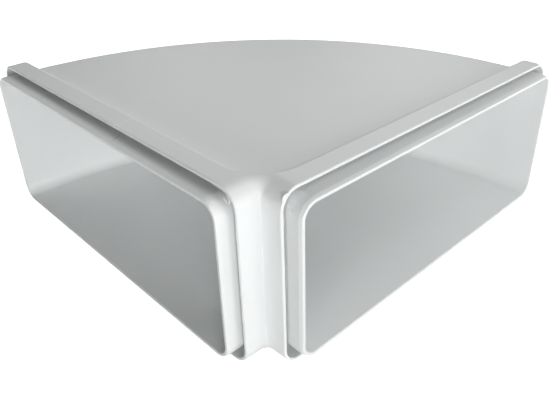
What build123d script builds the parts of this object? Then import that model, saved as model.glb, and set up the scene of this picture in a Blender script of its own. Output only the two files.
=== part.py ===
from build123d import *
import os

# Rectangular duct elbow: a right-angle bend for flat plastic ventilation duct, moulded in one piece.
# Both mouths are double-walled: an outer collar and a longer inner spigot, with a slot between them
# that takes the wall of the duct.
# While it is drawn, the upright edge where the two collars meet is on the Z axis, mouth A faces -X
# and mouth B faces -Y. Sizes are in millimetres.

# Duct that pushes into each mouth
duct_width = 220.0
duct_height = 90.0
duct_wall = 2.0
fit_clearance = 0.5

# Walls of the moulding
collar_wall = 1.8
body_wall = 2.8
spigot_tip_wall = 2.2
web_thickness = 2.0

# Lengths along each mouth
collar_depth = 12.0
spigot_reach = 7.0
lead_in_length = 2.0
lead_in_inset = 0.5
draft_run_in = 2.0

# Rounded edges
collar_radius = 10.0
spigot_radius = 9.0
corner_radius = 21.0

# Sizes that follow from the ones above
collar_width = duct_width + 2 * (fit_clearance + collar_wall)
collar_height = duct_height + 2 * (fit_clearance + collar_wall)
slot_width = duct_width + 2 * fit_clearance
slot_height = duct_height + 2 * fit_clearance
spigot_width = duct_width - 2 * (duct_wall + fit_clearance)
spigot_height = duct_height - 2 * (duct_wall + fit_clearance)
step = (collar_width - spigot_width) / 2
spigot_length = collar_depth + spigot_reach
bend_centre = step + body_wall
bend_radius = step + spigot_width - bend_centre


def mouth_section(position, width, height, radius):
    """Rounded rectangle across mouth A, centred on the duct, at a position along X."""
    centre = (position, collar_width / 2, collar_height / 2)
    plane = Plane(origin=centre, x_dir=(0, 1, 0), z_dir=(1, 0, 0))
    return plane * RectangleRounded(width, height, radius)


def straight(start, end, width, height, radius):
    """Solid with the same mouth section from start to end along X."""
    return extrude(mouth_section(start, width, height, radius), amount=end - start)


def other_mouth(shape):
    """The same shape at mouth B."""
    return mirror(shape, about=Plane(origin=(0, 0, 0), z_dir=(1, -1, 0)))


def bend(radius, height, edge_radius, run_in):
    """Quarter turn about the inside corner, its outer rim rounded, with a straight run to each mouth."""
    profile = Pos(radius / 2, 0) * Rectangle(radius, height)
    outer_corners = profile.vertices().group_by(Axis.X)[-1]
    section = Plane.XZ * fillet(outer_corners, edge_radius)
    centre = Pos(bend_centre, bend_centre, collar_height / 2)
    turn = centre * revolve(section, axis=Axis.Z, revolution_arc=90)
    straight_b = centre * extrude(section, amount=run_in)
    return turn + straight_b + other_mouth(straight_b)


def collar_plan():
    """Outline of both collars seen from above, joined by one large round at the inside corner."""
    strip_a = Pos(-collar_depth / 2, collar_width / 2) * Rectangle(collar_depth, collar_width)
    strip_b = Pos(collar_width / 2, -collar_depth / 2) * Rectangle(collar_width, collar_depth)
    square = Pos(corner_radius / 2, corner_radius / 2) * Rectangle(corner_radius, corner_radius)
    sweep = Pos(corner_radius, corner_radius) * Circle(corner_radius)
    return strip_a + strip_b + (square - sweep)


def collars():
    """Both collars as one solid block: their rounded long edges run on and mitre at the inside corner."""
    sleeve = straight(-collar_depth, corner_radius, collar_width, collar_height, collar_radius)
    return (sleeve + other_mouth(sleeve)) & extrude(collar_plan(), amount=collar_height)


def spigot_outside():
    """Outside of the inner spigot of mouth A, with the lead-in at its tip."""
    lead_in_start = -spigot_length + lead_in_length
    tip = mouth_section(
        -spigot_length,
        spigot_width - 2 * lead_in_inset,
        spigot_height - 2 * lead_in_inset,
        spigot_radius - lead_in_inset,
    )
    full = mouth_section(lead_in_start, spigot_width, spigot_height, spigot_radius)
    lead_in = loft([tip, full])
    return lead_in + straight(lead_in_start, 0, spigot_width, spigot_height, spigot_radius)


def slot_pocket():
    """Slot between the collar and the spigot of mouth A, closed at its back by the web."""
    slot_floor = -web_thickness
    outside = straight(-collar_depth, slot_floor, slot_width, slot_height, collar_radius - collar_wall)
    inside = straight(-collar_depth, slot_floor, spigot_width, spigot_height, spigot_radius)
    return outside - inside


def passage():
    """Air passage through the spigot of mouth A, drafted so that it widens towards the tip."""
    tip = mouth_section(
        -spigot_length,
        spigot_width - 2 * spigot_tip_wall,
        spigot_height - 2 * spigot_tip_wall,
        spigot_radius - spigot_tip_wall,
    )
    root = mouth_section(
        draft_run_in,
        spigot_width - 2 * body_wall,
        spigot_height - 2 * body_wall,
        spigot_radius - body_wall,
    )
    return loft([tip, root])


def inside_corner_post():
    """Upright inside corner of the bend, where the near walls of both spigots run together."""
    post = Pos(bend_centre / 2, bend_centre / 2) * Rectangle(bend_centre, bend_centre)
    return Pos(0, 0, step) * extrude(post, amount=spigot_height)


def duct_elbow():
    """The whole moulding, standing on its collars with the origin under the middle of its box."""
    elbow = collars()

    pocket = slot_pocket()
    elbow = elbow - pocket - other_mouth(pocket)

    spigot = spigot_outside()
    body = bend(bend_radius, spigot_height, spigot_radius, bend_centre)
    elbow = elbow + spigot + other_mouth(spigot) + body + inside_corner_post()

    bore = passage()
    bend_passage = bend(
        bend_radius - body_wall,
        spigot_height - 2 * body_wall,
        spigot_radius - body_wall,
        bend_centre - draft_run_in,
    )
    elbow = elbow - bore - other_mouth(bore) - bend_passage

    box_middle = (collar_width - spigot_length) / 2
    return Pos(-box_middle, -box_middle, 0) * elbow


os.makedirs("parts", exist_ok=True)
export_step(duct_elbow(), "parts/duct_elbow.step")
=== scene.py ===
import math

import bmesh
import bpy
from mathutils import Matrix, Vector


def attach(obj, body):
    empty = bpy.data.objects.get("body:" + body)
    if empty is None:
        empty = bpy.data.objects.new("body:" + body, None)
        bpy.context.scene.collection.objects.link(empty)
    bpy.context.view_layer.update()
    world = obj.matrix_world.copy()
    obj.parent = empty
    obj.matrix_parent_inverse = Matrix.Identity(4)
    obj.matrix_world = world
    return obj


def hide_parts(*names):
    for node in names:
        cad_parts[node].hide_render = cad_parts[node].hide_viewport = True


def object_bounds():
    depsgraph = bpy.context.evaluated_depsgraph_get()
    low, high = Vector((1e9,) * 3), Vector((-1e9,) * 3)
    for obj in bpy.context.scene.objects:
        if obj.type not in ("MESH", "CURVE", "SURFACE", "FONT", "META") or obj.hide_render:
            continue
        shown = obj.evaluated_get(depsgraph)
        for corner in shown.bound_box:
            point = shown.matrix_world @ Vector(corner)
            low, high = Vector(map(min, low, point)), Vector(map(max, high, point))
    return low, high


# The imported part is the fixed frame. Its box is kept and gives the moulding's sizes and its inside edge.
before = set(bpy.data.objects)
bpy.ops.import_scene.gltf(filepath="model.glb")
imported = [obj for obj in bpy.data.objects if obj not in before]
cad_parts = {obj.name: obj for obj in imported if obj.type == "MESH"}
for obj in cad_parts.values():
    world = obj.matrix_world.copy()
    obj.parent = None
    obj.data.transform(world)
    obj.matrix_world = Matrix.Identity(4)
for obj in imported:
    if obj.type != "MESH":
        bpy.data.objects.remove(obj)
cad_low, cad_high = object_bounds()

MM = 0.001

# Sizes of the moulding, in metres
spigot_length = 19.0 * MM
collar_depth = 12.0 * MM
web_depth = 2.0 * MM
collar_wall = 1.8 * MM
step = 4.8 * MM
tip_outer_inset = 5.3 * MM
tip_inner_inset = 7.0 * MM
body_wall = 2.8 * MM
lead_in_length = 2.0 * MM
draft_run_in = 2.0 * MM
collar_radius = 10.0 * MM
spigot_radius = 9.0 * MM
corner_round = 21.0 * MM

collar_height = cad_high.z - cad_low.z
collar_width = cad_high.x - cad_low.x - spigot_length
bend_centre = step + body_wall
spigot_centre = step + spigot_radius
inside_edge = Vector((cad_low.x + spigot_length, cad_low.y + spigot_length, cad_low.z))

# Small rounds on the edges of the moulding
collar_lip_round = 0.7 * MM
slot_lip_round = 0.3 * MM
spigot_lip_round = 0.5 * MM
lead_in_round = 2.0 * MM
slot_fillet = 0.5 * MM
back_round = 1.7 * MM
foot_fillet = 0.8 * MM

# Draft on the outside of the collars, which are that much smaller at the mouth than at the back
collar_draft = 0.25 * MM

# Round in the angle where both collars meet: tight along the upright edge, wide at the top and underneath
angle_round = 0.5 * MM
angle_round_growth = 1.6
angle_round_depth = 4.0 * MM

# Finish of the plastic: its colours, and the sizes of its faint clouds, orange peel, grain and specks
plastic_white = (0.881, 0.897, 0.895, 1)
plastic_shade = (0.841, 0.86, 0.858, 1)
# Paler white of the knit line: a painted highlight along its seam
knit_highlight_white = (0.97, 0.975, 0.972, 1)
mark_grey = (0.33, 0.35, 0.345, 1)
least_roughness = 0.32
most_roughness = 0.4
cloud_size = 30.0 * MM
cloud_detail = 3.0
cloud_roughness = 0.6
peel_size = 2.6 * MM
peel_height = 0.012 * MM
grain_size = 0.5 * MM
grain_height = 0.002 * MM
grain_strength = 0.35
speck_spacing = 8.0 * MM
speck_radius = 0.3 * MM
speck_strength = 0.45

# Knit line across the top of collar A, where two flows of plastic met, from the inside edge. Its seam is a
# real faint ridge, and its paler white is a painted highlight along it
knit_centre = Vector((-7.5, 107.5, 0)) * MM
knit_radius = 16.4 * MM
knit_half_width = 0.8 * MM
knit_height = 0.06 * MM
knit_box_middle = Vector((-6.0, 92.0, 94.0)) * MM
knit_half_box = Vector((8.0, 3.0, 2.0)) * MM

# Short drag line on top of spigot A
drag_centre = Vector((33.2, 5.0, 0)) * MM
drag_radius = 94.7 * MM
drag_half_width = 0.4 * MM
drag_depth = 0.06 * MM
drag_strength = 0.5
drag_box_middle = Vector((-13.6, 87.2, 89.8)) * MM
drag_half_box = Vector((3.4, 3.0, 2.0)) * MM

# Where the ends of both lines start to fade, as a share of the way from the middle of a box to its side
line_fade_start = 0.8

# Flash, thin beads of plastic that squeezed out where the mould's halves meet
bead_spacing = 0.12 * MM
bead_sides = 8
bead_unevenness = 0.9
bead_lump_size = 0.9 * MM
bead_taper = 0.5
bead_end_share = 0.02
bead_seed = 4.0

# Thread of flash along the rim of collar A and round its near corner at the top
thread_radius = 0.2 * MM
thread_reach = 8.3 * MM
thread_stand_off = 0.15 * MM
thread_starts = (5.0 * MM, 2.0 * MM)
thread_angles = range(92, 117, 6)

# Small loop of flash farther round that corner, which leans out from the slot's edge
loop_radius = 0.3 * MM
loop_reach = 7.45 * MM
loop_half_height = 0.75 * MM
loop_stand_off = 0.6 * MM
loop_lean = 0.45 * MM
loop_angle = 131.0
loop_half_angle = 15.0
loop_start = 30.0
loop_sweep = 300.0
loop_steps = 12

# Flat flake on collar B's rim, curl on spigot B and burr on spigot A: points in mm from the inside edge
flake_radius = 0.75 * MM
flake_flatness = 0.3
flake_normal = Vector((0, 1, 0))
flake_points = [(1.4, -11.9, 90.0), (2.4, -11.9, 91.8), (4.4, -11.9, 92.7)]
curl_points = [(4.75, -12.5, 84.6), (4.7, -12.7, 83.9), (4.75, -13.3, 83.2)]
burr_points = [(-18.7, 35.6, 89.25), (-18.75, 34.6, 89.3), (-18.7, 33.6, 89.25)]

# Floor and surround: a weak glow that lights the elbow, and the white that they show
floor_half_width = 3.0
floor_gap = 0.5 * MM
floor_white = (0.9, 0.9, 0.9, 1)
floor_roughness = 0.8
floor_glow = 0.03
floor_shown = 1.15
floor_gleam = 1.6
gleam_start = 0.22
gleam_full = 0.35
surround_white = (1, 1, 1, 1)
surround_glow = 0.02
surround_shown = 1.0

# Camera at the photograph's viewpoint: its place and angles, and its focal length and middle in pixels
camera_place = Vector((-235.16, -260.95, 211.02)) * MM
camera_heading = math.radians(45.08)
camera_tilt = math.radians(29.70)
camera_roll = math.radians(0.206)
picture_width = 550
picture_height = 400
focal_length = 596.3
middle_x = 305.83
middle_y = 183.73
sensor_width = 36.0
nearest_seen = 10.0 * MM

# Where the studio lights are aimed, how far off they stand and how broad they are, in metres
light_target = Vector((0, 0, 0.05))
light_distance = 1.5
broad = 0.8
narrow = 0.3

# Each light's name, azimuth from mouth B with mouth A at -90, elevation, breadth and power in watts
studio_lights = [
    ("low_left", -60, 5, narrow, 4.4),
    ("low_front", -30, 5, narrow, 5.7),
    ("front_left", -30, 30, broad, 1.95),
    ("front", 15, 16, broad, 5.15),
    ("high_front", 0, 55, broad, 2.05),
    ("high_right", 60, 55, broad, 3.9),
    ("right", 90, 8, narrow, 9.4),
    ("back_right", 120, 30, broad, 2.8),
    ("back", 150, 30, broad, 2.25),
    ("back_left", 180, 30, broad, 1.7),
]

# How finely the rounds are divided
arc_steps = 16
small_round_steps = 4
plan_round_steps = 6
angle_round_steps = 6
bend_steps = 60
merge_distance = 0.01 * MM

# The collars' long rounds mitre up to this angle from the top, where they reach the plan round
mitre_angle = 11.25
mitre_reach = collar_radius * (1 - math.sin(math.radians(mitre_angle)))
mitre_limit = mitre_reach + merge_distance

# There the round in the angle is as wide as it has to be to end where the round of the back edge starts
back_edge_start = corner_round - (corner_round + back_round) * math.sqrt(0.5)
angle_round_end = (mitre_reach - back_edge_start) / (1 - math.sqrt(0.5))

# Shading: edges sharper than this angle stay sharp, and large faces rule the normals by this weight
sharp_angle = math.radians(50)
large_face_weight = 100


class NodeMaker:
    """Adds nodes to one tree: each call gives the new node, or what comes out of it."""

    def __init__(self, tree):
        self.tree = tree

    def feed(self, socket, value):
        if isinstance(value, bpy.types.NodeSocket):
            self.tree.links.new(value, socket)
        else:
            socket.default_value = value

    def add(self, kind, feeds=None, **settings):
        node = self.tree.nodes.new(kind)
        for name, value in settings.items():
            setattr(node, name, value)
        for name, value in (feeds or {}).items():
            self.feed(node.inputs[name], value)
        return node

    def calculate(self, kind, operation, values):
        node = self.add(kind, operation=operation)
        for socket, value in zip(node.inputs, values):
            self.feed(socket, value)
        return node.outputs

    def math(self, operation, *values):
        return self.calculate("ShaderNodeMath", operation, values)[0]

    def vector_math(self, operation, *values):
        return self.calculate("ShaderNodeVectorMath", operation, values)["Vector"]

    def mix(self, first, second, share):
        """first where share is 0 and second where it is 1."""
        return self.math("MULTIPLY_ADD", self.math("SUBTRACT", second, first), share, first)

    def fade(self, value, full, none):
        """1 where a value is at full or beyond it, falling smoothly to 0 where it is at none."""
        node = self.add(
            "ShaderNodeMapRange", {"Value": value, "From Min": none, "From Max": full},
            interpolation_type="SMOOTHSTEP",
        )
        return node.outputs["Result"]


class NodeGroup(NodeMaker):
    """A node group with named inputs and outputs."""

    def __init__(self, name, kind):
        super().__init__(bpy.data.node_groups.new(name, kind))
        self.inlet = self.tree.nodes.new("NodeGroupInput")
        self.outlet = self.tree.nodes.new("NodeGroupOutput")

    def input(self, name, kind="NodeSocketFloat"):
        self.tree.interface.new_socket(name, in_out="INPUT", socket_type=kind)
        return self.inlet.outputs[name]

    def output(self, name, value, kind="NodeSocketFloat"):
        self.tree.interface.new_socket(name, in_out="OUTPUT", socket_type=kind)
        self.feed(self.outlet.inputs[name], value)


class GeometryTree(NodeGroup):
    """A Geometry Nodes tree that ends in a plain mesh of one material."""

    def __init__(self, name):
        super().__init__(name, "GeometryNodeTree")
        self.tree.is_modifier = True

    def whole(self, operation, *values):
        return self.calculate("FunctionNodeIntegerMath", operation, values)[0]

    def named(self, geometry, name, index):
        """The value of a named attribute at one point of some geometry."""
        field = self.add("GeometryNodeInputNamedAttribute", {"Name": name}, data_type="FLOAT")
        sample = self.add(
            "GeometryNodeSampleIndex",
            {"Geometry": geometry, "Value": field.outputs["Attribute"], "Index": index},
            data_type="FLOAT",
            domain="POINT",
        )
        return sample.outputs["Value"]

    def count(self, geometry):
        return self.add("GeometryNodeAttributeDomainSize", {"Geometry": geometry}).outputs["Point Count"]

    def end(self, geometry, material):
        realized = self.add("GeometryNodeRealizeInstances", {"Geometry": geometry})
        coloured = self.add(
            "GeometryNodeSetMaterial", {"Geometry": realized.outputs[0], "Material": material}
        )
        self.output("Geometry", coloured.outputs[0], "NodeSocketGeometry")
        return self.tree


def moulding_sweep_tree():
    """Sweeps a row of section sizes round the stations of a mouth's outline and through the bend.

    Each point of the modified mesh is one row: a section at some depth in the mouth, or turned into the
    bend. A section is a rounded rectangle, inset from the outside of the collar, and the corners of a
    family of sections turn about the same centre. Each point of the stations object is one place on the
    outline of a section. A row's swing goes from 0 to 1 through the round in the angle between the collars.
    """
    tree = GeometryTree("moulding_sweep")
    rows = tree.input("Rows", "NodeSocketGeometry")
    stations_object = tree.input("Stations", "NodeSocketObject")
    width = tree.input("Collar Width")
    height = tree.input("Collar Height")
    outer_radius = tree.input("Collar Radius")
    plate_step = tree.input("Plate Step")
    plan_round = tree.input("Corner Round")
    mitre_limit = tree.input("Mitre Limit")
    mitre_lean = tree.input("Mitre Lean")
    tight_round = tree.input("Angle Round")
    wide_round = tree.input("Angle Round End")
    round_growth = tree.input("Angle Round Growth")
    centre = tree.input("Bend Centre")
    origin = tree.input("Inside Edge", "NodeSocketVector")
    material = tree.input("Material", "NodeSocketMaterial")

    info = tree.add("GeometryNodeObjectInfo", {"Object": stations_object})
    stations = info.outputs["Geometry"]
    station_count = tree.count(stations)
    grid = tree.add(
        "GeometryNodeMeshGrid", {"Vertices X": tree.count(rows), "Vertices Y": station_count}
    )
    index = tree.add("GeometryNodeInputIndex").outputs[0]
    row = tree.whole("DIVIDE_FLOOR", index, station_count)
    column = tree.whole("MODULO", index, station_count)

    depth = tree.named(rows, "depth", row)
    inset = tree.named(rows, "inset", row)
    corner_centre = tree.named(rows, "corner_centre", row)
    at_back = tree.named(rows, "at_back", row)
    squared = tree.named(rows, "squared", row)
    swing = tree.named(rows, "swing", row)
    behind = tree.named(rows, "behind", row)
    turn = tree.named(rows, "turn", row)
    mouth = tree.named(rows, "mouth", row)
    side = tree.named(stations, "side", column)
    level = tree.named(stations, "level", column)
    angle = tree.named(stations, "angle", column)
    along = tree.named(stations, "along", column)

    half_width = tree.math("MULTIPLY", width, 0.5)
    half_height = tree.math("MULTIPLY", height, 0.5)
    cosine = tree.math("COSINE", angle)
    sine = tree.math("SINE", angle)
    near = tree.math("LESS_THAN", side, 0.0)

    def place(middle, sign, reach, radius, lean):
        """Where a station lies along one side of a rounded rectangle."""
        corner = tree.math("MULTIPLY_ADD", sign, reach, middle)
        return tree.math("MULTIPLY_ADD", radius, lean, corner)

    # The section of this row
    kept = tree.math("SUBTRACT", 1.0, tree.math("MULTIPLY", squared, near))
    radius = tree.math("MULTIPLY", tree.math("SUBTRACT", corner_centre, inset), kept)
    corner_inset = tree.math("ADD", inset, radius)
    across = place(half_width, side, tree.math("SUBTRACT", half_width, corner_inset), radius, cosine)
    across = tree.math("ADD", across, along)
    up = place(half_height, level, tree.math("SUBTRACT", half_height, corner_inset), radius, sine)

    # At the back of the collar the near side keeps to the outside of the collar and drops to the plate
    outer_reach = tree.math("SUBTRACT", half_width, outer_radius)
    outer_across = place(half_width, side, outer_reach, outer_radius, cosine)
    outer_across = tree.math("ADD", outer_across, along)
    outer_rise = tree.math("SUBTRACT", half_height, outer_radius)
    outer_up = place(half_height, level, outer_rise, outer_radius, sine)
    plate_up = tree.math("MULTIPLY_ADD", level, tree.math("SUBTRACT", half_height, plate_step), half_height)
    wall_up = tree.mix(outer_up, plate_up, tree.math("DIVIDE", inset, plate_step))
    near_back = tree.math("MULTIPLY", at_back, near)
    across = tree.mix(across, outer_across, near_back)
    up = tree.mix(up, wall_up, near_back)

    # The back follows the round of the inside corner
    short_of_round = tree.math("MAXIMUM", tree.math("SUBTRACT", plan_round, across), 0.0)
    round_here = tree.math("SUBTRACT", plan_round, depth)
    square = tree.math("MULTIPLY", round_here, round_here)
    reach = tree.math("SUBTRACT", square, tree.math("MULTIPLY", short_of_round, short_of_round))
    reach = tree.math("SQRT", tree.math("MAXIMUM", reach, 0.0))
    back_depth = tree.math("SUBTRACT", plan_round, reach)

    # Nearer the edge both collars meet in a mitre, which is rounded the more the higher it is
    mitred = tree.math("LESS_THAN", across, mitre_limit)
    lean = tree.math("ABSOLUTE", tree.math("SUBTRACT", angle, math.pi))
    growth = tree.math("POWER", tree.math("DIVIDE", lean, mitre_lean), round_growth)
    angle_radius = tree.mix(tight_round, wide_round, growth)
    swing_angle = tree.math("MULTIPLY", swing, math.pi / 4)
    set_in = tree.math("SUBTRACT", 1.0, tree.math("COSINE", swing_angle))
    set_back = tree.math("SUBTRACT", 1.0, tree.math("SINE", swing_angle))
    mitre_across = tree.math("SUBTRACT", across, tree.math("MULTIPLY", angle_radius, set_in))
    mitre_depth = tree.math("SUBTRACT", across, tree.math("MULTIPLY", angle_radius, set_back))
    diagonal = tree.math("SUBTRACT", plan_round, tree.math("MULTIPLY", round_here, math.sqrt(0.5)))
    mitre_across = tree.mix(mitre_across, diagonal, behind)
    mitre_depth = tree.mix(mitre_depth, diagonal, behind)
    back_depth = tree.mix(back_depth, mitre_depth, mitred)
    across = tree.mix(across, mitre_across, tree.math("MULTIPLY", mitred, at_back))
    depth_here = tree.mix(depth, back_depth, at_back)

    # Along the mouth, then round the bend
    run = tree.math("MULTIPLY", mouth, tree.math("SUBTRACT", centre, depth_here))
    ray = tree.math("SUBTRACT", across, centre)
    turn_cosine = tree.math("COSINE", turn)
    turn_sine = tree.math("SINE", turn)
    x = tree.math("MULTIPLY_ADD", ray, turn_sine, centre)
    x = tree.math("MULTIPLY_ADD", run, turn_cosine, x)
    y = tree.math("MULTIPLY_ADD", ray, turn_cosine, centre)
    y = tree.math("SUBTRACT", y, tree.math("MULTIPLY", run, turn_sine))
    place_here = tree.add("ShaderNodeCombineXYZ", {"X": x, "Y": y, "Z": up}).outputs[0]
    moved = tree.add(
        "GeometryNodeSetPosition",
        {"Geometry": grid.outputs["Mesh"], "Position": place_here, "Offset": origin},
    )
    return tree.end(moved.outputs[0], material)


def placed(name, data):
    """A new object in the scene with this mesh, camera or light."""
    made = bpy.data.objects.new(name, data)
    bpy.context.scene.collection.objects.link(made)
    return made


def points_object(name, points):
    """An object with one point for each dictionary of values, kept as attributes of those names."""
    mesh = bpy.data.meshes.new(name)
    mesh.from_pydata([(0.0, 0.0, 0.0)] * len(points), [], [])
    for key in points[0]:
        layer = mesh.attributes.new(key, "FLOAT", "POINT")
        layer.data.foreach_set("value", [point[key] for point in points])
    return placed(name, mesh)


def set_inputs(modifier, values):
    """Sets a modifier's inputs by the identifiers of their sockets."""
    for item in modifier.node_group.interface.items_tree:
        if item.in_out == "INPUT" and item.name in values:
            modifier[item.identifier] = values[item.name]


def discard(made):
    """Deletes an object and its mesh."""
    mesh = made.data
    bpy.data.objects.remove(made)
    bpy.data.meshes.remove(mesh)


def mesh_from_tree(tree, start, values):
    """The plain mesh that a Geometry Nodes tree makes of a start object, which is then deleted."""
    modifier = start.modifiers.new(tree.name, "NODES")
    modifier.node_group = tree
    set_inputs(modifier, values)
    bpy.context.view_layer.update()
    graph = bpy.context.evaluated_depsgraph_get()
    mesh = bpy.data.meshes.new_from_object(start.evaluated_get(graph), depsgraph=graph)
    start.modifiers.clear()
    discard(start)
    return mesh


def joined(meshes):
    """One editable shape of several plain meshes, which are deleted."""
    shape = bmesh.new()
    for mesh in meshes:
        shape.from_mesh(mesh)
        bpy.data.meshes.remove(mesh)
    return shape


def smooth_piece(name, shape, material):
    """An object of one material from an editable shape, shaded smooth."""
    mesh = bpy.data.meshes.new(name)
    shape.to_mesh(mesh)
    shape.free()
    mesh.materials.clear()
    mesh.materials.append(material)
    mesh.shade_smooth()
    return placed(name, mesh)


def station(side, level, angle, along=0.0):
    """One place on an outline: which corner, the angle round it, and how far it is moved along the edge."""
    return {"side": side, "level": level, "angle": math.radians(angle), "along": along}


def corner_stations(side, level, first, last):
    """Stations round one corner of the outline, from one angle to another."""
    count = round(abs(last - first) / 90.0 * arc_steps)
    return [station(side, level, first + (last - first) * i / count) for i in range(count + 1)]


def edge_stations(level, angle):
    """Stations on the long edge where the round of the inside corner dies into the back of the collar."""
    start = math.asin((corner_round - collar_radius) / corner_round)
    bends = [start * (1 - (i + 1) / plan_round_steps) for i in range(plan_round_steps)]
    reaches = [corner_round * (1 - math.sin(bend)) - collar_radius for bend in bends]
    return [station(-1, level, angle, reach) for reach in reaches]


def whole_outline():
    """All the way round a section and back to the first station."""
    far_top = corner_stations(1, 1, 0, 90)
    near_top = corner_stations(-1, 1, 90, 180)
    near_bottom = corner_stations(-1, -1, 180, 270)
    far_bottom = corner_stations(1, -1, 270, 360)
    top_edge = edge_stations(1, 90)[::-1]
    bottom_edge = edge_stations(-1, 270)
    return far_top + top_edge + near_top + near_bottom + bottom_edge + far_bottom + far_top[:1]


def back_outline():
    """From the mitre under the inside corner, round the far side, to the mitre on top."""
    near_bottom = corner_stations(-1, -1, 270 - mitre_angle, 270)
    near_top = corner_stations(-1, 1, 90, 90 + mitre_angle)
    bottom = near_bottom + edge_stations(-1, 270)
    top = edge_stations(1, 90)[::-1] + near_top
    return bottom + rim_outline() + top


def rim_outline():
    """The far side of a section, between the flat plates."""
    return corner_stations(1, -1, 270, 360) + corner_stations(1, 1, 0, 90)


def profile_point(depth, inset, corner_centre, at_back=0, squared=0):
    """One row of a profile. Rows at the back of the collar end in the middle of the mitre."""
    return {
        "depth": depth,
        "inset": inset,
        "corner_centre": corner_centre,
        "at_back": at_back,
        "squared": squared,
        "swing": at_back,
        "behind": 0,
    }


def rounded_corner(before, corner, after, radius):
    """Points of the small round that replaces a corner of the mouth's profile."""
    if not radius:
        return [corner]
    here = Vector((corner["depth"], corner["inset"]))
    to_before = (Vector((before["depth"], before["inset"])) - here).normalized()
    to_after = (Vector((after["depth"], after["inset"])) - here).normalized()
    half = to_before.angle(to_after) / 2
    middle = here + (to_before + to_after).normalized() * (radius / math.sin(half))
    start = (here + to_before * (radius / math.tan(half)) - middle).normalized()
    end = (here + to_after * (radius / math.tan(half)) - middle).normalized()
    points = []
    for i in range(small_round_steps + 1):
        spot = middle + start.slerp(end, i / small_round_steps) * radius
        points.append({**corner, "depth": spot.x, "inset": spot.y})
    return points


def rounded_profile(corners):
    """A profile whose corners, each with a radius, are rounded. Its two ends stay as they are."""
    points = [corners[0][0]]
    for i in range(1, len(corners) - 1):
        corner, radius = corners[i]
        points += rounded_corner(corners[i - 1][0], corner, corners[i + 1][0], radius)
    return points + [corners[-1][0]]


def collar_inset(depth):
    """How far the draft sets in the outside of the collar at some depth."""
    return collar_draft * (-depth - back_round) / (collar_depth - back_round)


def angle_rows():
    """Rows over the collar that take the round in the angle, up to the back edge."""
    rows = []
    for i in range(angle_round_steps):
        swing = i / angle_round_steps
        depth = -angle_round_depth + (angle_round_depth - back_round) * swing
        row = profile_point(depth, collar_inset(depth), collar_radius, at_back=1)
        rows.append({**row, "swing": swing})
    return rows


def mouth_profile():
    """From the passage over the spigot's tip, through the slot and over the collar to its back edge."""
    first_angle_row, *more_angle_rows = angle_rows()
    return rounded_profile([
        (profile_point(bend_centre, bend_centre, spigot_centre, squared=1), 0),
        (profile_point(draft_run_in, bend_centre, spigot_centre), lead_in_round),
        (profile_point(-spigot_length, tip_inner_inset, spigot_centre), spigot_lip_round),
        (profile_point(-spigot_length, tip_outer_inset, spigot_centre), spigot_lip_round),
        (profile_point(-spigot_length + lead_in_length, step, spigot_centre), lead_in_round),
        (profile_point(-web_depth, step, spigot_centre), slot_fillet),
        (profile_point(-web_depth, collar_wall, collar_radius), slot_fillet),
        (profile_point(-collar_depth, collar_wall, collar_radius), slot_lip_round),
        (profile_point(-collar_depth, collar_draft, collar_radius), collar_lip_round),
        (first_angle_row, 0),
    ]) + more_angle_rows + [profile_point(-back_round, 0.0, collar_radius, at_back=1)]


def back_profile():
    """From the collar's back edge down the step to the plate."""
    points = rounded_profile([
        (profile_point(-back_round, 0.0, 0.0, at_back=1), 0),
        (profile_point(0.0, 0.0, 0.0, at_back=1), back_round),
        (profile_point(0.0, step, 0.0, at_back=1), foot_fillet),
        (profile_point(foot_fillet, step, 0.0, at_back=1), 0),
    ])
    for point in points:
        point["corner_centre"] = collar_radius + (spigot_centre - collar_radius) * point["inset"] / step
        point["behind"] = 1
    return points


def in_mouth(points, mouth):
    """Rows in mouth A, where mouth is -1, or in mouth B, where it is 1."""
    turn = math.pi / 2 if mouth > 0 else 0.0
    return [{**point, "mouth": mouth, "turn": turn} for point in points]


def round_the_bend(point):
    """Rows of one section turned from mouth A to mouth B."""
    turns = [math.pi / 2 * i / bend_steps for i in range(bend_steps + 1)]
    return [{**point, "mouth": 0, "turn": turn} for turn in turns]


def sweep(tree, rows, stations, material):
    """The plain mesh of one sweep of the moulding."""
    rows_object = points_object("sweep_rows", rows)
    stations_object = points_object("sweep_stations", stations)
    mesh = mesh_from_tree(tree, rows_object, {
        "Stations": stations_object,
        "Collar Width": collar_width,
        "Collar Height": collar_height,
        "Collar Radius": collar_radius,
        "Plate Step": step,
        "Corner Round": corner_round,
        "Mitre Limit": mitre_limit,
        "Mitre Lean": math.radians(90.0 - mitre_angle),
        "Angle Round": angle_round,
        "Angle Round End": angle_round_end,
        "Angle Round Growth": angle_round_growth,
        "Bend Centre": bend_centre,
        "Inside Edge": inside_edge,
        "Material": material,
    })
    discard(stations_object)
    return mesh


def moulding_meshes(material):
    """The mouths with the passage between them, the two steps behind the collars, and the outer wall."""
    tree = moulding_sweep_tree()
    mouth = mouth_profile()
    back = back_profile()
    passage = round_the_bend(mouth[0])
    wall = round_the_bend(profile_point(bend_centre, step, spigot_centre))
    foot = back[-1]
    inside_rows = in_mouth(mouth[::-1], -1) + passage + in_mouth(mouth, 1)
    outside_rows = in_mouth([foot], -1) + wall + in_mouth([foot], 1)
    yield sweep(tree, inside_rows, whole_outline(), material)
    yield sweep(tree, in_mouth(back, -1), back_outline(), material)
    yield sweep(tree, in_mouth(back, 1), back_outline(), material)
    yield sweep(tree, outside_rows, rim_outline(), material)


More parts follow.
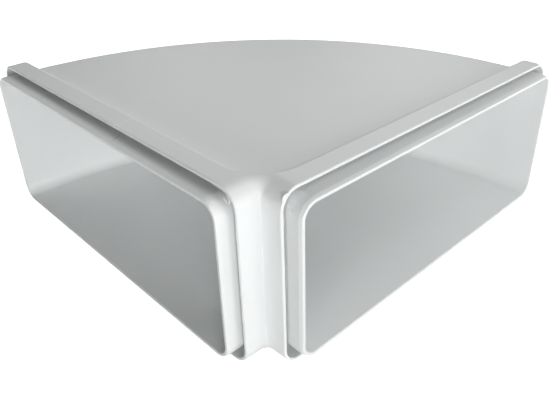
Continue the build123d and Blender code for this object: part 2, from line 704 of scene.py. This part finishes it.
def elbow_moulding(material):
    """The whole moulding as one closed mesh, with the two flat plates filled in."""
    shape = joined(moulding_meshes(material))
    bmesh.ops.remove_doubles(shape, verts=shape.verts, dist=merge_distance)
    open_edges = [edge for edge in shape.edges if edge.is_boundary]
    bmesh.ops.holes_fill(shape, edges=open_edges, sides=0)
    bmesh.ops.recalc_face_normals(shape, faces=shape.faces)
    made = smooth_piece("elbow_moulding", shape, material)
    made.data.set_sharp_from_angle(angle=sharp_angle)
    weighted = made.modifiers.new("flat_faces_stay_flat", "WEIGHTED_NORMAL")
    weighted.keep_sharp = True
    weighted.weight = large_face_weight
    return made


def flash_bead_tree():
    """Draws an uneven bead along a line and presses it towards a plane."""
    tree = GeometryTree("flash_bead")
    line = tree.input("Line", "NodeSocketGeometry")
    radius = tree.input("Bead Radius")
    spacing = tree.input("Point Spacing")
    sides = tree.input("Sides", "NodeSocketInt")
    unevenness = tree.input("Unevenness")
    lump_size = tree.input("Lump Size")
    taper = tree.input("Taper")
    end_share = tree.input("End Share")
    seed = tree.input("Seed")
    plane = tree.input("Plane Place", "NodeSocketVector")
    normal = tree.input("Plane Normal", "NodeSocketVector")
    flatness = tree.input("Flatness")
    material = tree.input("Material", "NodeSocketMaterial")

    # The line, smoothed
    curve = tree.add("GeometryNodeMeshToCurve", {"Mesh": line})
    smooth = tree.add(
        "GeometryNodeCurveSplineType", {"Curve": curve.outputs[0]}, spline_type="CATMULL_ROM"
    )
    fine = tree.add(
        "GeometryNodeResampleCurve", {"Curve": smooth.outputs[0], "Length": spacing}, mode="LENGTH"
    )

    # Its thickness: thin at both ends and lumpy in between
    share = tree.add("GeometryNodeSplineParameter").outputs["Factor"]
    arch = tree.math("SINE", tree.math("MULTIPLY", share, math.pi))
    thinning = tree.math("POWER", tree.math("MAXIMUM", arch, end_share), taper)
    place = tree.add("GeometryNodeInputPosition").outputs[0]
    noise = tree.add(
        "ShaderNodeTexNoise",
        {"Vector": place, "W": seed, "Scale": tree.math("DIVIDE", 1.0, lump_size)},
        noise_dimensions="4D",
    )
    noise_middle = 0.5
    above_middle = tree.math("SUBTRACT", noise.outputs[0], noise_middle)
    lumps = tree.math("MULTIPLY_ADD", above_middle, unevenness, 1.0)
    thickness = tree.math("MULTIPLY", tree.math("MULTIPLY", radius, thinning), lumps)
    circle = tree.add("GeometryNodeCurvePrimitiveCircle", {"Resolution": sides, "Radius": 1.0})
    bead = tree.add("GeometryNodeCurveToMesh", {
        "Curve": fine.outputs[0],
        "Profile Curve": circle.outputs[0],
        "Scale": thickness,
        "Fill Caps": True,
    })

    # Pressed towards the plane, or left as it is where the flatness is 1
    away = tree.vector_math("SUBTRACT", place, plane)
    off = tree.add("ShaderNodeVectorMath", {0: away, 1: normal}, operation="DOT_PRODUCT").outputs["Value"]
    press = tree.math("MULTIPLY", off, tree.math("SUBTRACT", flatness, 1.0))
    shift = tree.add("ShaderNodeVectorMath", {0: normal, "Scale": press}, operation="SCALE")
    pressed = tree.add(
        "GeometryNodeSetPosition", {"Geometry": bead.outputs[0], "Offset": shift.outputs["Vector"]}
    )
    return tree.end(pressed.outputs[0], material)


def flash_bead(tree, points, radius, flatness, material):
    """The plain mesh of one bead along points that are given from the inside edge."""
    mesh = bpy.data.meshes.new("flash_line")
    places = [inside_edge + point for point in points]
    mesh.from_pydata(places, [(i, i + 1) for i in range(len(places) - 1)], [])
    return mesh_from_tree(tree, placed("flash_line", mesh), {
        "Bead Radius": radius,
        "Point Spacing": bead_spacing,
        "Sides": bead_sides,
        "Unevenness": bead_unevenness,
        "Lump Size": bead_lump_size,
        "Taper": bead_taper,
        "End Share": bead_end_share,
        "Seed": bead_seed,
        "Plane Place": places[0],
        "Plane Normal": flake_normal,
        "Flatness": flatness,
        "Material": material,
    })


def rim_place(reach, angle, stand_off, along=0.0):
    """A place off collar A's rim, round its near corner at the top or moved along from it."""
    turn = math.radians(angle)
    return Vector((
        -collar_depth - stand_off,
        collar_radius + along + reach * math.cos(turn),
        collar_height - collar_radius + reach * math.sin(turn),
    ))


def rim_thread():
    """Line of the thread of flash, along the rim and then round its corner."""
    straight = [rim_place(thread_reach, 90, thread_stand_off, along) for along in thread_starts]
    return straight + [rim_place(thread_reach, angle, thread_stand_off) for angle in thread_angles]


def rim_loop():
    """Line of the small loop of flash, nearest the rim where it reaches farthest out."""
    places = []
    for i in range(loop_steps + 1):
        turn = math.radians(loop_start + loop_sweep * i / loop_steps)
        rise = math.sin(turn)
        reach = loop_reach + loop_half_height * rise
        angle = loop_angle - loop_half_angle * math.cos(turn)
        places.append(rim_place(reach, angle, loop_stand_off - loop_lean * rise))
    return places


def in_metres(points):
    """Points that are given in millimetres, as places in metres."""
    return [Vector(point) * MM for point in points]


def moulding_flash(material):
    """All the flash as one object: on both collars' rims and on both spigots, near the inside corner."""
    tree = flash_bead_tree()
    fully_round = 1.0
    beads = [
        (rim_thread(), thread_radius, fully_round),
        (rim_loop(), loop_radius, fully_round),
        (in_metres(flake_points), flake_radius, flake_flatness),
        (in_metres(curl_points), thread_radius, fully_round),
        (in_metres(burr_points), thread_radius, fully_round),
    ]
    meshes = [flash_bead(tree, *bead, material) for bead in beads]
    return smooth_piece("moulding_flash", joined(meshes), material)


def cloud_group():
    """Soft patches of a given size, from 0 to 1."""
    group = NodeGroup("cloudy_patches", "ShaderNodeTree")
    place = group.input("Vector", "NodeSocketVector")
    size = group.input("Patch Size")
    noise = group.add("ShaderNodeTexNoise", {
        "Vector": place,
        "Scale": group.math("DIVIDE", 1.0, size),
        "Detail": cloud_detail,
        "Roughness": cloud_roughness,
    })
    group.output("Value", noise.outputs[0])
    return group.tree


def speck_group():
    """Sparse round specks: 1 in the middle of one and 0 away from it."""
    group = NodeGroup("sparse_specks", "ShaderNodeTree")
    place = group.input("Vector", "NodeSocketVector")
    spacing = group.input("Spacing")
    radius = group.input("Speck Radius")
    cells = group.add(
        "ShaderNodeTexVoronoi", {"Vector": place, "Scale": group.math("DIVIDE", 1.0, spacing)}
    )
    distance = group.math("MULTIPLY", cells.outputs["Distance"], spacing)
    group.output("Mask", group.fade(distance, 0.0, radius))
    return group.tree


def arc_line_group():
    """A fine line along an arc about an upright axis, kept to a box: 1 on the line and 0 off it."""
    group = NodeGroup("arc_line", "ShaderNodeTree")
    place = group.input("Vector", "NodeSocketVector")
    centre = group.input("Centre", "NodeSocketVector")
    radius = group.input("Radius")
    half_width = group.input("Half Width")
    middle = group.input("Box Middle", "NodeSocketVector")
    half_box = group.input("Half Box", "NodeSocketVector")
    away = group.vector_math("SUBTRACT", place, centre)
    flat = group.vector_math("MULTIPLY", away, (1, 1, 0))
    reach = group.add("ShaderNodeVectorMath", {0: flat}, operation="LENGTH").outputs["Value"]
    off_line = group.math("ABSOLUTE", group.math("SUBTRACT", reach, radius))
    line = group.fade(off_line, 0.0, half_width)
    outside = group.vector_math("ABSOLUTE", group.vector_math("SUBTRACT", place, middle))
    share = group.add("ShaderNodeSeparateXYZ", {0: group.vector_math("DIVIDE", outside, half_box)})
    farthest = group.math("MAXIMUM", share.outputs["X"], share.outputs["Y"])
    farthest = group.math("MAXIMUM", farthest, share.outputs["Z"])
    group.output("Mask", group.math("MULTIPLY", line, group.fade(farthest, line_fade_start, 1.0)))
    return group.tree


def white_plastic():
    """Satin white moulded plastic: faintly cloudy, with orange peel, fine grain and a few specks."""
    material = bpy.data.materials.new("white_plastic")
    material.use_nodes = True
    maker = NodeMaker(material.node_tree)
    shader = material.node_tree.nodes["Principled BSDF"]
    place = maker.add("ShaderNodeTexCoord").outputs["Object"]

    def group(tree, feeds):
        node = maker.add("ShaderNodeGroup", node_tree=tree)
        for name, value in {"Vector": place, **feeds}.items():
            maker.feed(node.inputs[name], value)
        return node.outputs[0]

    clouds = cloud_group()
    specks = speck_group()
    arc_line = arc_line_group()
    cloud = group(clouds, {"Patch Size": cloud_size})
    peel = group(clouds, {"Patch Size": peel_size})
    grain = group(clouds, {"Patch Size": grain_size})
    speck = group(specks, {"Spacing": speck_spacing, "Speck Radius": speck_radius})
    knit_seam_and_highlight = group(arc_line, {
        "Centre": inside_edge + knit_centre,
        "Radius": knit_radius,
        "Half Width": knit_half_width,
        "Box Middle": inside_edge + knit_box_middle,
        "Half Box": knit_half_box,
    })
    drag = group(arc_line, {
        "Centre": inside_edge + drag_centre,
        "Radius": drag_radius,
        "Half Width": drag_half_width,
        "Box Middle": inside_edge + drag_box_middle,
        "Half Box": drag_half_box,
    })

    def tinted(colour, tint, mask, strength=1.0):
        mixed = maker.add("ShaderNodeMix", data_type="RGBA")
        maker.feed(mixed.inputs["Factor"], maker.math("MULTIPLY", mask, strength))
        colour_inputs = [socket for socket in mixed.inputs if socket.type == "RGBA"]
        maker.feed(colour_inputs[0], colour)
        maker.feed(colour_inputs[1], tint)
        return [socket for socket in mixed.outputs if socket.type == "RGBA"][0]

    colour = tinted(plastic_white, plastic_shade, cloud)
    colour = tinted(colour, plastic_shade, grain, grain_strength)
    # Painted highlight: the knit line's seam is tinted paler white for the light its ridge catches
    colour = tinted(colour, knit_highlight_white, knit_seam_and_highlight)
    colour = tinted(colour, mark_grey, drag, drag_strength)
    colour = tinted(colour, mark_grey, speck, speck_strength)
    maker.feed(shader.inputs["Base Color"], colour)
    maker.feed(shader.inputs["Roughness"], maker.mix(least_roughness, most_roughness, peel))

    # The relief, as heights in metres
    height = maker.math("MULTIPLY", peel, peel_height)
    height = maker.math("MULTIPLY_ADD", grain, grain_height, height)
    height = maker.math("MULTIPLY_ADD", knit_seam_and_highlight, knit_height, height)
    height = maker.math("MULTIPLY_ADD", drag, -drag_depth, height)
    bump = maker.add("ShaderNodeBump", {"Height": height, "Distance": 1.0})
    maker.feed(shader.inputs["Normal"], bump.outputs[0])
    return material


def shown_white(maker, strength, plain, white):
    """Feeds a strength that is high where the camera looks straight at a surface and low for its light."""
    seen = maker.add("ShaderNodeLightPath").outputs["Is Camera Ray"]
    maker.feed(strength, maker.mix(plain, white, seen))


def gleaming(maker, plain, gleam):
    """A strength that is higher in the elbow's reflections of the floor, away from the middle."""
    reflected = maker.add("ShaderNodeLightPath").outputs["Is Glossy Ray"]
    place = maker.add("ShaderNodeTexCoord").outputs["Object"]
    reach = maker.add("ShaderNodeVectorMath", {0: place}, operation="LENGTH").outputs["Value"]
    share = maker.math("MULTIPLY", reflected, maker.fade(reach, gleam_full, gleam_start))
    return maker.mix(plain, gleam, share)


def floor():
    """Pale floor that the elbow lies on."""
    mesh = bpy.data.meshes.new("floor")
    half = floor_half_width
    corners = [(-half, -half, 0), (half, -half, 0), (half, half, 0), (-half, half, 0)]
    mesh.from_pydata(corners, [], [(0, 1, 2, 3)])
    made = placed("floor", mesh)
    material = bpy.data.materials.new("floor_white")
    material.use_nodes = True
    shader = material.node_tree.nodes["Principled BSDF"]
    shader.inputs["Base Color"].default_value = floor_white
    shader.inputs["Roughness"].default_value = floor_roughness
    shader.inputs["Emission Color"].default_value = floor_white
    maker = NodeMaker(material.node_tree)
    glow = gleaming(maker, floor_glow, floor_gleam)
    shown_white(maker, shader.inputs["Emission Strength"], glow, floor_shown)
    mesh.materials.append(material)
    made.location.z = -floor_gap


def camera():
    """Camera at the photograph's viewpoint."""
    data = bpy.data.cameras.new("camera")
    data.sensor_width = sensor_width
    data.lens = focal_length / picture_width * sensor_width
    data.shift_x = (picture_width / 2 - middle_x) / picture_width
    data.shift_y = (middle_y - picture_height / 2) / picture_width
    data.clip_start = nearest_seen
    made = placed("camera", data)
    forward = Vector((
        math.sin(camera_heading) * math.cos(camera_tilt),
        math.cos(camera_heading) * math.cos(camera_tilt),
        -math.sin(camera_tilt),
    ))
    turned = forward.to_track_quat("-Z", "Y").to_matrix()
    rolled = turned @ Matrix.Rotation(-camera_roll, 3, "Z")
    made.matrix_world = Matrix.Translation(camera_place) @ rolled.to_4x4()
    bpy.context.scene.camera = made


def area_light(name, azimuth, elevation, breadth, power):
    """Soft round light aimed at the middle of the elbow."""
    data = bpy.data.lights.new(name, "AREA")
    data.shape = "DISK"
    data.size = breadth
    data.energy = power
    made = placed(name, data)
    made.visible_camera = False
    turn = math.radians(azimuth)
    lift = math.radians(elevation)
    away = Vector((math.sin(turn) * math.cos(lift), -math.cos(turn) * math.cos(lift), math.sin(lift)))
    made.location = light_target + away * light_distance
    made.rotation_euler = (-away).to_track_quat("-Z", "Y").to_euler()


def lights():
    """Soft studio lights all round but for the left, in a surround that shows as plain white."""
    world = bpy.data.worlds.new("studio")
    world.use_nodes = True
    surround = world.node_tree.nodes["Background"]
    surround.inputs["Color"].default_value = surround_white
    shown_white(NodeMaker(world.node_tree), surround.inputs["Strength"], surround_glow, surround_shown)
    bpy.context.scene.world = world
    for light in studio_lights:
        area_light(*light)


bpy.context.scene.view_settings.view_transform = "Standard"
plastic = white_plastic()
elbow = elbow_moulding(plastic)
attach(elbow, "root")
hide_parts("duct_elbow")
flash = moulding_flash(plastic)
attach(flash, "root")
floor()
camera()
lights()
